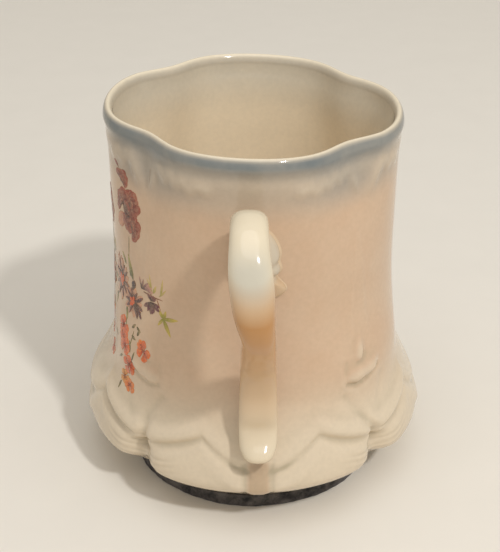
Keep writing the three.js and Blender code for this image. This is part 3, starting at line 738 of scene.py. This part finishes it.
def film(angle, z, way, length, width, bend, widest, layer, inner, tip, squash=1.0):
    """Notes one petal or leaf: foot as angle and height, way in degrees from level, and its colours."""
    films.append((angle * np.pi / 180 * waist_radius, z, np.radians(way), length, width, bend, widest, layer,
                  squash, *linear(inner)[:3] * painted_warm_light, *linear(tip)[:3] * painted_warm_light))


def flower(angle, z, petals, length, width, inner, tip, heart=None, layer=2, start=0.0, squash=1.0,
           spread=360.0, widest=1.5, heart_size=0.9):
    """Petals round a centre with small differences, and a heart of short dots on top."""
    for i in range(petals):
        way = start + spread * i / petals + dice.uniform(-8, 8)
        size = length * dice.uniform(0.86, 1.1)
        film(angle, z, way, size, width * dice.uniform(0.88, 1.1), dice.uniform(-0.12, 0.12), widest,
             layer + i % 3, inner, tip, squash)
    if heart:
        for i in range(6):
            film(angle + dice.uniform(-0.6, 0.6), z + dice.uniform(-0.35, 0.35), 60 * i, heart_size,
                 heart_size * 0.8, 0, 1.2, layer + 4, heart, heart, squash)


def aster(angle, z, size, start=0.0, squash=1.0):
    """A pale violet aster: pale petals with thin dark ones between and on top, round an orange
    heart."""
    flower(angle, z, 12, size, size * 0.34, "#6a4652", "#d0b29e", start=start, squash=squash, widest=1.7)
    flower(angle, z, 9, size * 0.9, size * 0.17, "#28121e", "#5c3248", layer=5, start=start + 14,
           squash=squash, widest=1.6)
    flower(angle, z, 6, size * 0.55, size * 0.22, "#22101e", "#4a2438", "#cc5a20", layer=8, start=start + 5,
           squash=squash, widest=1.4, heart_size=size * 0.3)


def blossom(angle, z, size, start=0.0, squash=1.0, inner="#a83410", tip="#e07a3c"):
    """A small five-petalled blossom in orange red."""
    flower(angle, z, 5, size, size * 0.85, inner, tip, "#7c3010", start=start, squash=squash, widest=2.0,
           heart_size=size * 0.2)


def leaf(angle, z, way, length, width=None, bend=0.15, tone=("#485e2c", "#9caa62")):
    """A green leaf, widest before its middle."""
    film(angle, z, way, length, width or length * 0.34, bend, 0.8, 0, *tone)


def stem(angle, z, way, length, bend=0.1, tone=("#5b6236", "#7d8450")):
    """A thin green stalk."""
    film(angle, z, way, length, 0.36, bend, 0.7, 0, *tone)


def carnation(angle, z, wide, high, way, side=1):
    """A maroon bloom seen from the side: a fan of broad petals that opens along the way, a darker fan
    on it, and short folded petals in its middle."""
    for turns, long, longer, every, broad, bend, widest, layer, inner, tip in (
        ((-72, -40, -8, 26, 58), 0.62, 0.06, 3, 0.5, 0.08, 2.2, 2, "#54201f", "#98584f"),
        ((-52, -16, 20, 50), 0.46, 0.05, 2, 0.34, -0.06, 2.0, 5, "#40121a", "#80403e"),
        ((-30, 6, 34), 0.28, 0, 2, 0.2, 0.1, 1.8, 7, "#300c14", "#9c645c"),
    ):
        for i, turn in enumerate(turns):
            film(angle, z, way + turn * side, wide * (long + longer * (i % every)), wide * broad, bend * side,
                 widest, layer + i % every, inner, tip, high / wide)


# The spray hangs round the middle of the left wall, and its two halves differ a little
for mirror in (1, -1):
    def at(angle):
        return spray_middle + (angle - spray_middle) * mirror

    def to(way):
        return way if mirror > 0 else 180 - way

    shift = 0 if mirror > 0 else 1.5
    # A bud over a full bloom over a cupped one, with a pale petal behind it
    carnation(at(-64.5), 80.8 + shift, 4.6, 4.4, to(62), mirror)
    film(at(-66), 83.6 + shift, to(140), 2.4, 1.0, 0, 1.4, 1, "#6c3440", "#9a6a6c")
    film(at(-61), 72.6 + shift, to(72), 7.6, 6.0, 0, 1.3, 1, "#4c1a20", "#8c4e48")
    carnation(at(-61), 74.6 + shift, 7.4, 7.6, to(48), mirror)
    carnation(at(-58.5), 76.4 + shift, 6.2, 5.4, to(-6), mirror)
    carnation(at(-63), 75.4 + shift, 4.8, 5.0, to(140), mirror)
    film(at(-59), 73.6 + shift, to(-150), 6.4, 3.6, 0.1 * mirror, 1.6, 0, "#a4746c", "#c49c84")
    carnation(at(-58.5), 73.6 + shift, 5.0, 6.0, to(-74), mirror)
    carnation(at(-56.5), 71.0 + shift, 5.4, 6.0, to(20), mirror)
    stem(at(-58), 68.6 + shift, to(-92), 6.0, 0.02)
    leaf(at(-55.4), 57.8 + shift, to(112), 6.4, 1.7, -0.05 * mirror)
    leaf(at(-57.5), 58.4 + shift, to(80), 3.4, 1.3, 0.1 * mirror)
    # Violet asters and their buds
    aster(at(-65.5), 55.4 + shift, 4.7, 25, 1.15)
    flower(at(-67.5), 58.6 + shift, 6, 3.0, 0.9, "#7a5c6c", "#ccb4ac", start=40, layer=1, widest=1.6,
           spread=200)
    film(at(-55.4), 55.2 + shift, to(78), 2.8, 1.7, 0, 1.4, 9, "#140c22", "#2c1c40")
    flower(at(-49.6), 57.2 + shift, 4, 3.4, 0.6, "#2c1c34", "#a48c94", start=to(14), layer=2, widest=1.3,
           spread=110 * mirror)
    flower(at(-45.8), 57.4 + shift, 4, 1.9, 0.9, "#8c7480", "#c0a4a0", start=to(20), layer=2,
           spread=120 * mirror)
    aster(at(-55.2), 52.4 + shift, 4.3, 5)
    for way, length in ((-20, 3.4), (-48, 4.4), (-70, 4.0), (34, 3.8)):
        film(at(-53.4), 52.6 + shift, to(way), length, 0.85, 0.04 * mirror, 1.6, 10, "#24101f", "#5a304c")
    flower(at(-43.6), 55.2 + shift, 7, 3.3, 0.95, "#261226", "#663a58", start=to(-130), layer=5, widest=1.6,
           spread=130 * mirror)
    flower(at(-43.6), 55.4 + shift, 4, 1.9, 0.8, "#2a1428", "#744a5c", start=to(20), layer=4,
           spread=150 * mirror)
    for angle, z, way, length in ((-70.5, 50.6, -110, 3.4), (-59.6, 50.0, -80, 3.2), (-61, 60.6, 118, 3.2)):
        leaf(at(angle), z + shift, to(way), length)
    # Fine stalks and green tufts beside them
    film(at(-48.2), 56.8, to(-4), 6.6, 0.34, 0.05 * mirror, 0.8, 3, "#5c2c28", "#84503c")
    film(at(-40.4), 56.4, to(-64), 3.0, 0.3, 0, 0.8, 1, "#84503c", "#8c6c4c")
    for angle, z, way, length, width in (
        (-43.4, 57.6, 92, 4.6, 0.6), (-43.0, 57.6, 112, 3.6, 0.7), (-42.4, 57.6, 60, 2.4, 0.8),
        (-38.6, 57.8, 74, 4.4, 0.6), (-39.2, 57.4, 42, 3.2, 0.5),
    ):
        leaf(at(angle), z, to(way), length, width, 0.1 * mirror, tone=("#98a45c", "#c4c488"))
    for way, length, width in (
        (128, 2.4, 1.0), (70, 2.2, 0.9), (6, 4.2, 1.0), (-62, 4.6, 1.1), (-128, 2.6, 0.8),
    ):
        leaf(at(-36.8), 52.2, to(way), length, width, 0.06 * mirror, tone=("#8a9a3c", "#c8c868"))
    # Orange blossoms in a hanging row, small grey-green leaves and twigs
    stem(at(-59), 48.6, to(-84), 5.0, 0.05)
    stem(at(-52), 45.6, to(-96), 5.4, -0.1)
    for angle, z, way in ((-53.6, 46.0, 40), (-50.6, 47.0, -30), (-53.0, 44.2, -20), (-49.6, 45.0, 62)):
        leaf(at(angle), z + shift * 0.5, to(way), 1.9, 0.8, 0.12, tone=("#4a5034", "#7c805c"))
    for angle, z, size, start in ((-60.6, 44.6, 2.7, 80), (-59.0, 42.2, 2.5, 40), (-56.8, 40.4, 2.7, 0),
                                  (-44.6, 42.4, 2.5, 10), (-52.6, 36.4, 2.7, 30), (-73.6, 34.2, 2.2, 12)):
        blossom(at(angle), z + shift * 0.5, size, start)
    blossom(at(-46.2), 43.4 + shift * 0.5, 1.6, 50, inner="#c05c20", tip="#e0944c")
    blossom(at(-55.6), 32.4 + shift * 0.5, 1.9, 5, inner="#b4711c", tip="#e0b060")
    blossom(at(-51.6), 31.2 + shift * 0.5, 2.0, 35, inner="#b85c1c", tip="#e0904c")
    for angle, z, way, length in ((-52.6, 39.8, 96, 3.0), (-50.4, 38.4, 70, 2.6), (-58.6, 37.2, -150, 2.4),
                                  (-57.5, 30.6, -110, 2.2), (-66, 40, 150, 2.6)):
        leaf(at(angle), z + shift * 0.5, to(way), length, 0.7, tone=("#3e4a2c", "#74805a"))

# Between the two halves: a full bloom, an aster, orange blossoms and the stalks that join them
carnation(spray_middle, 71.4, 6.4, 6.6, 78)
carnation(-80.6, 70.2, 5.2, 5.4, 10, -1)
carnation(-85.8, 70.0, 5.4, 5.4, 168)
for way, length in ((-92, 9.5), (-64, 6.2), (-118, 6.4)):
    stem(spray_middle, 66.4, way, length, 0.04)
aster(spray_middle, 53.4, 4.6, 12)
for angle, z, way, length in (
    (-77.5, 59.4, 64, 4.4), (-88.5, 59.4, 118, 4.4), (-75.8, 54.4, -20, 4.0),
    (-90.4, 54.6, 200, 4.0), (-79.5, 46.6, -36, 3.6), (-86.8, 46.4, 214, 3.6),
):
    leaf(angle, z, way, length)
stem(spray_middle, 49.2, -88, 7.5, 0.05)
for angle, z, size, start in (
    (-81.6, 43.2, 2.6, 20), (-85.2, 41.4, 2.5, 60), (-81.8, 38.6, 2.4, 5), (-84.4, 36.2, 2.1, 40),
):
    blossom(angle, z, size, start)

# Each film as rings from its foot to its tip: its width is a sine of the share of its length to the
# power that sets where it is widest, and its edge follows the wall at a lift that grows by layer
data = np.array(films)
foot_across, foot_height, way, length, width, bend, widest, layer, squash = data[:, :9].T[:, :, None, None]
inner_tone, tip_tone = data[:, None, None, 9:12], data[:, None, None, 12:15]
a = np.concatenate([[0.02], np.linspace(0.1, 0.9, 7), [0.985]])[None, :, None]
b = np.linspace(0, 2 * np.pi, 12, endpoint=False)[None, None, :]
half = width / 2 * np.clip(np.sin(np.pi * a**widest), 0.02, None) ** 0.75
forward = length * a
side = half * np.cos(b) + bend * length * a**2
across = foot_across + forward * np.cos(way) - side * np.sin(way)
up = foot_height + (forward * np.sin(way) + side * np.cos(way)) * squash
lift = film_lift + layer_step * layer + np.where(np.sin(b) > 0, film_rise, film_sink) * np.sin(b)
plan = np.degrees(across / waist_radius)
rings = on_axis(plan, outer_radius(plan, up) + lift, up)
ends = rings[:, [0, -1]].mean(axis=2)
count, rows, sides = rings.shape[:3]
points = np.concatenate([rings.reshape(count, -1, 3), ends], axis=1)
size = points.shape[1]
here = np.arange(rows * sides).reshape(1, rows, sides) + size * np.arange(count)[:, None, None]
beside = np.roll(here, -1, axis=2)
first = np.broadcast_to(size * np.arange(count)[:, None] + rows * sides, (count, sides))
near = np.stack([first, here[:, 0], beside[:, 0]], axis=-1)
far = np.stack([first + 1, beside[:, -1], here[:, -1]], axis=-1)
transfer_mesh = mesh_of("floral_transfer", points, walls_between(here, (0, 3, 2, 1)), near, far)
fade = smooth((a - 0.1) / 0.8)[..., None] * (0.75 + 0.25 * np.abs(np.cos(b))[..., None])
streak = 1 + 0.22 * np.cos(5 * np.arccos(np.clip(np.cos(b), -1, 1)))[..., None]
ink = (inner_tone + (tip_tone - inner_tone) * fade) * streak
ink = np.concatenate([ink.reshape(count, -1, 3), inner_tone[:, 0], tip_tone[:, 0]], axis=1)
ink = np.concatenate([ink, np.ones((*ink.shape[:2], 1))], axis=-1)
transfer_mesh.attributes.new("ink", "FLOAT_COLOR", "POINT").data.foreach_set("color", ink.ravel())

# Overglaze enamel print: fine stipple of colour, 0.2 mm grains, thin enough to let the white show,
# fired glossy but a little rougher than the bare glaze.
print_ink, tree, place = empty_material("enamel_transfer_print")
stipple = node(tree, "ShaderNodeTexNoise", {"Scale": 2600.0, "Detail": 2.0}, {"Vector": place})
patches = node(tree, "ShaderNodeTexNoise", {"Scale": 700.0, "Detail": 2.0}, {"Vector": place})
ink_tone = node(tree, "ShaderNodeAttribute", attribute_name="ink")
thin = node(tree, "ShaderNodeMapRange", {"From Min": 0.42, "From Max": 0.68, "To Min": 0.0, "To Max": 0.22},
            {"Value": stipple.outputs["Fac"]})
washed = node(tree, "ShaderNodeMapRange", {"From Min": 0.4, "From Max": 0.7, "To Min": 0.02, "To Max": 0.16},
              {"Value": patches.outputs["Fac"]})
total = node(tree, "ShaderNodeMath", links={0: thin.outputs["Result"], 1: washed.outputs["Result"]},
             operation="ADD")
tone = node(tree, "ShaderNodeMix", {7: linear("#d0b28c")},
            {0: total.outputs["Value"], 6: ink_tone.outputs["Color"]}, data_type="RGBA")
surface = node(tree, "ShaderNodeBsdfPrincipled", {"IOR": 1.5, "Roughness": 0.16},
               {"Base Color": tone.outputs[2]})
node(tree, "ShaderNodeOutputMaterial", links={"Surface": surface.outputs["BSDF"]})
transfer = placed("floral_transfer", transfer_mesh, print_ink)
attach(transfer, "root")


# Floor: the plain pale surface that the mug stands on, run up behind it in one curve.
floor_reach, floor_back, floor_sweep, backdrop_height = 3000.0, 1000.0, 600.0, 3000.0
turns = np.linspace(0, np.pi / 2, 13)
outline = np.concatenate([
    [[-floor_reach, 0.0], [floor_back, 0.0]],
    np.stack([floor_back + floor_sweep * np.sin(turns), floor_sweep * (1 - np.cos(turns))], axis=-1)[1:],
    [[floor_back + floor_sweep, backdrop_height]],
])
sides = np.array([-floor_reach, floor_reach])
grid = np.stack(np.broadcast_arrays(sides[None, :], outline[:, :1], outline[:, 1:]), axis=-1)
index = np.arange(outline.size).reshape(-1, 2)
faces = np.stack([index[:-1, 0], index[:-1, 1], index[1:, 1], index[1:, 0]], axis=-1)
floor_mesh = mesh_of("floor", grid, faces)
paper, tree, place = empty_material("matt_paper")
pulp = node(tree, "ShaderNodeTexNoise", {"Scale": 60.0, "Detail": 3.0}, {"Vector": place})
tone = node(tree, "ShaderNodeMix", {6: linear("#ebe5da"), 7: linear("#e7e1d6")}, {0: pulp.outputs["Fac"]},
            data_type="RGBA")
surface = node(tree, "ShaderNodeBsdfPrincipled", {"Roughness": 0.9}, {"Base Color": tone.outputs[2]})
node(tree, "ShaderNodeOutputMaterial", links={"Surface": surface.outputs["BSDF"]})
floor = placed("floor", floor_mesh, paper)


# Light: a soft white room, a wide panel overhead, and one small lamp from the front right above that
# draws the handle's shadow and the points of light in the glaze.
world = bpy.data.worlds.new("soft_room")
bpy.context.scene.world = world
world.use_nodes = True
world.node_tree.nodes["Background"].inputs["Color"].default_value = linear("#fffdfa")
world.node_tree.nodes["Background"].inputs["Strength"].default_value = 0.5
for name, way, distance, size, power in (("panel", (0.05, -0.25, 0.967), 1.4, 1.3, 5.4),
                                         ("lamp", (0.351, -0.585, 0.731), 1.1, 0.08, 4.8)):
    light = bpy.data.lights.new(name, "AREA")
    light.shape = "DISK"
    light.size = size
    light.energy = power
    hung = bpy.data.objects.new(name, light)
    hung.location = Vector(way) * distance + Vector((0, 0, 0.05))
    hung.rotation_mode = "QUATERNION"
    hung.rotation_quaternion = Vector(way).to_track_quat("Z", "Y")
    bpy.context.collection.objects.link(hung)


# Camera: fitted to the photograph's lip, pad and outline.
camera_data = bpy.data.cameras.new("camera")
camera_data.lens = 82.83
camera_data.sensor_width = 36.0
camera_data.clip_start = 0.01
camera = bpy.data.objects.new("camera", camera_data)
camera.location = (-0.00085, -0.28095, 0.20148)
camera.rotation_euler = (np.radians(61.4), 0, 0)
bpy.context.collection.objects.link(camera)
bpy.context.scene.camera = camera
bpy.context.scene.view_settings.view_transform = "Standard"
